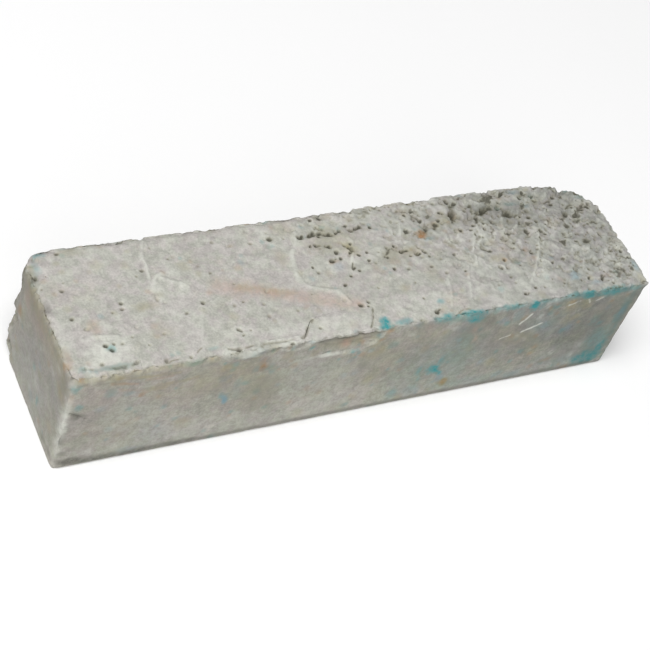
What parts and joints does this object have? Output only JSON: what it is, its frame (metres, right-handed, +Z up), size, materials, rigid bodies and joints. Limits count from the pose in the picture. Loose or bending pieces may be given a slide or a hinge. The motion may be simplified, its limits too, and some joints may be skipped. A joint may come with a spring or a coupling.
{
  "type": "gymnastics chalk block",
  "caption": "Long cast bar of solid chalk with a cracked crust on its top face, loose crust flakes and broken corners, resting on its wide underside.",
  "frame": {"origin": "middle of the underside, on the surface that the block stands on", "axes": "+X along the block towards the end with the large broken corner, +Y from the front long side to the back one, +Z up"},
  "size_m": [0.254, 0.065, 0.051],
  "materials": {
    "cast_body": "matte",
    "crust": "matte",
    "crust_flake": "matte"
  },
  "bodies": {
    "root": {"block_body": "cast_body", "top_crust": "crust", "edge_flake": "crust_flake", "corner_flake": "crust_flake"}
  },
  "joints": []
}
